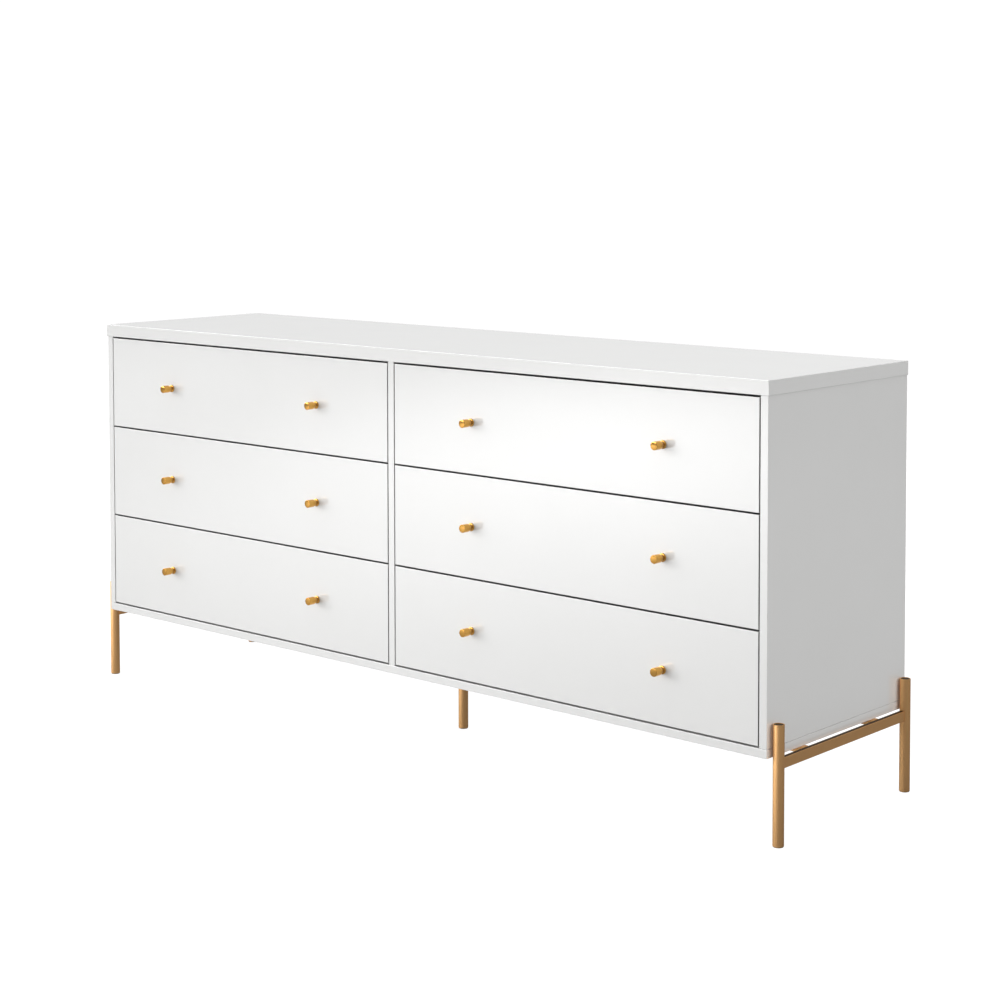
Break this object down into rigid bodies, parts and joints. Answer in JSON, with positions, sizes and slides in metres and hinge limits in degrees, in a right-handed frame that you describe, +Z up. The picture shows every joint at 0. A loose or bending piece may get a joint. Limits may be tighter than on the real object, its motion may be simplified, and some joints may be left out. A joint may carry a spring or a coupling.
{
  "type": "dresser with drawers",
  "caption": "Wide low dresser with inset gloss drawers on telescopic slides, small turned knobs, and a round-tube metal base that rises outside the ends.",
  "frame": {"origin": "on the floor, under the centre of the overall box", "axes": "+X to the right along the width, -Y out of the drawer fronts, +Z up"},
  "size_m": [1.7408, 0.453, 0.76],
  "materials": {
    "white_lacquer": "high gloss lacquer on board",
    "drawer_board": "matt foil on board",
    "hardboard": "painted hardboard",
    "beech": "plain turned beech",
    "gold_metal": "satin gold plated steel",
    "knob_brass": "polished gold",
    "zinc_steel": "zinc plated",
    "cam_zinc": "die-cast zinc, plain",
    "dark_plastic": "moulded",
    "strip_plastic": "extruded"
  },
  "bodies": {
    "carcass": {"top_panel": "white_lacquer", "bottom_panel": "white_lacquer", "left_side_panel": "white_lacquer", "right_side_panel": "white_lacquer", "centre_divider": "white_lacquer", "back_boards": "hardboard", "back_joint_strip": "strip_plastic", "back_nails": "zinc_steel", "cam_locks": "cam_zinc", "cam_bolts": "zinc_steel", "dowels": "beech", "slide_outer_members": "zinc_steel", "slide_screws": "zinc_steel", "centre_leg": "gold_metal", "left_crossbar": "gold_metal", "right_crossbar": "gold_metal", "mounting_tabs": "gold_metal", "tube_caps": "gold_metal", "foot_glides": "dark_plastic", "base_screws": "zinc_steel", "front_left_leg": "gold_metal", "front_right_leg": "gold_metal", "back_left_leg": "gold_metal", "back_right_leg": "gold_metal"},
    "top_left_drawer": {"top_left_drawer_front": "white_lacquer", "top_left_drawer_box": "drawer_board", "top_left_drawer_bottom": "hardboard", "top_left_drawer_knobs": "knob_brass", "top_left_drawer_slide_inner": "zinc_steel"},
    "top_left_drawer_slide": {"top_left_drawer_slide_middle": "zinc_steel"},
    "middle_left_drawer": {"middle_left_drawer_front": "white_lacquer", "middle_left_drawer_box": "drawer_board", "middle_left_drawer_bottom": "hardboard", "middle_left_drawer_knobs": "knob_brass", "middle_left_drawer_slide_inner": "zinc_steel"},
    "middle_left_drawer_slide": {"middle_left_drawer_slide_middle": "zinc_steel"},
    "bottom_left_drawer": {"bottom_left_drawer_front": "white_lacquer", "bottom_left_drawer_box": "drawer_board", "bottom_left_drawer_bottom": "hardboard", "bottom_left_drawer_knobs": "knob_brass", "bottom_left_drawer_slide_inner": "zinc_steel"},
    "bottom_left_drawer_slide": {"bottom_left_drawer_slide_middle": "zinc_steel"},
    "top_right_drawer": {"top_right_drawer_front": "white_lacquer", "top_right_drawer_box": "drawer_board", "top_right_drawer_bottom": "hardboard", "top_right_drawer_knobs": "knob_brass", "top_right_drawer_slide_inner": "zinc_steel"},
    "top_right_drawer_slide": {"top_right_drawer_slide_middle": "zinc_steel"},
    "middle_right_drawer": {"middle_right_drawer_front": "white_lacquer", "middle_right_drawer_box": "drawer_board", "middle_right_drawer_bottom": "hardboard", "middle_right_drawer_knobs": "knob_brass", "middle_right_drawer_slide_inner": "zinc_steel"},
    "middle_right_drawer_slide": {"middle_right_drawer_slide_middle": "zinc_steel"},
    "bottom_right_drawer": {"bottom_right_drawer_front": "white_lacquer", "bottom_right_drawer_box": "drawer_board", "bottom_right_drawer_bottom": "hardboard", "bottom_right_drawer_knobs": "knob_brass", "bottom_right_drawer_slide_inner": "zinc_steel"},
    "bottom_right_drawer_slide": {"bottom_right_drawer_slide_middle": "zinc_steel"}
  },
  "joints": [
    {"name": "top_left_drawer_pull", "type": "slide", "parent": "carcass", "child": "top_left_drawer", "axis": [0, -1, 0], "range_m": [0, 0.39]},
    {"name": "top_left_drawer_middle_slide", "type": "slide", "parent": "carcass", "child": "top_left_drawer_slide", "axis": [0, -1, 0], "range_m": [0, 0.195]},
    {"name": "middle_left_drawer_pull", "type": "slide", "parent": "carcass", "child": "middle_left_drawer", "axis": [0, -1, 0], "range_m": [0, 0.39]},
    {"name": "middle_left_drawer_middle_slide", "type": "slide", "parent": "carcass", "child": "middle_left_drawer_slide", "axis": [0, -1, 0], "range_m": [0, 0.195]},
    {"name": "bottom_left_drawer_pull", "type": "slide", "parent": "carcass", "child": "bottom_left_drawer", "axis": [0, -1, 0], "range_m": [0, 0.39]},
    {"name": "bottom_left_drawer_middle_slide", "type": "slide", "parent": "carcass", "child": "bottom_left_drawer_slide", "axis": [0, -1, 0], "range_m": [0, 0.195]},
    {"name": "top_right_drawer_pull", "type": "slide", "parent": "carcass", "child": "top_right_drawer", "axis": [0, -1, 0], "range_m": [0, 0.39]},
    {"name": "top_right_drawer_middle_slide", "type": "slide", "parent": "carcass", "child": "top_right_drawer_slide", "axis": [0, -1, 0], "range_m": [0, 0.195]},
    {"name": "middle_right_drawer_pull", "type": "slide", "parent": "carcass", "child": "middle_right_drawer", "axis": [0, -1, 0], "range_m": [0, 0.39]},
    {"name": "middle_right_drawer_middle_slide", "type": "slide", "parent": "carcass", "child": "middle_right_drawer_slide", "axis": [0, -1, 0], "range_m": [0, 0.195]},
    {"name": "bottom_right_drawer_pull", "type": "slide", "parent": "carcass", "child": "bottom_right_drawer", "axis": [0, -1, 0], "range_m": [0, 0.39]},
    {"name": "bottom_right_drawer_middle_slide", "type": "slide", "parent": "carcass", "child": "bottom_right_drawer_slide", "axis": [0, -1, 0], "range_m": [0, 0.195]}
  ],
  "couplings": [
    {"joint": "top_left_drawer_middle_slide", "follows": "top_left_drawer_pull", "ratio": 0.5},
    {"joint": "middle_left_drawer_middle_slide", "follows": "middle_left_drawer_pull", "ratio": 0.5},
    {"joint": "bottom_left_drawer_middle_slide", "follows": "bottom_left_drawer_pull", "ratio": 0.5},
    {"joint": "top_right_drawer_middle_slide", "follows": "top_right_drawer_pull", "ratio": 0.5},
    {"joint": "middle_right_drawer_middle_slide", "follows": "middle_right_drawer_pull", "ratio": 0.5},
    {"joint": "bottom_right_drawer_middle_slide", "follows": "bottom_right_drawer_pull", "ratio": 0.5}
  ]
}
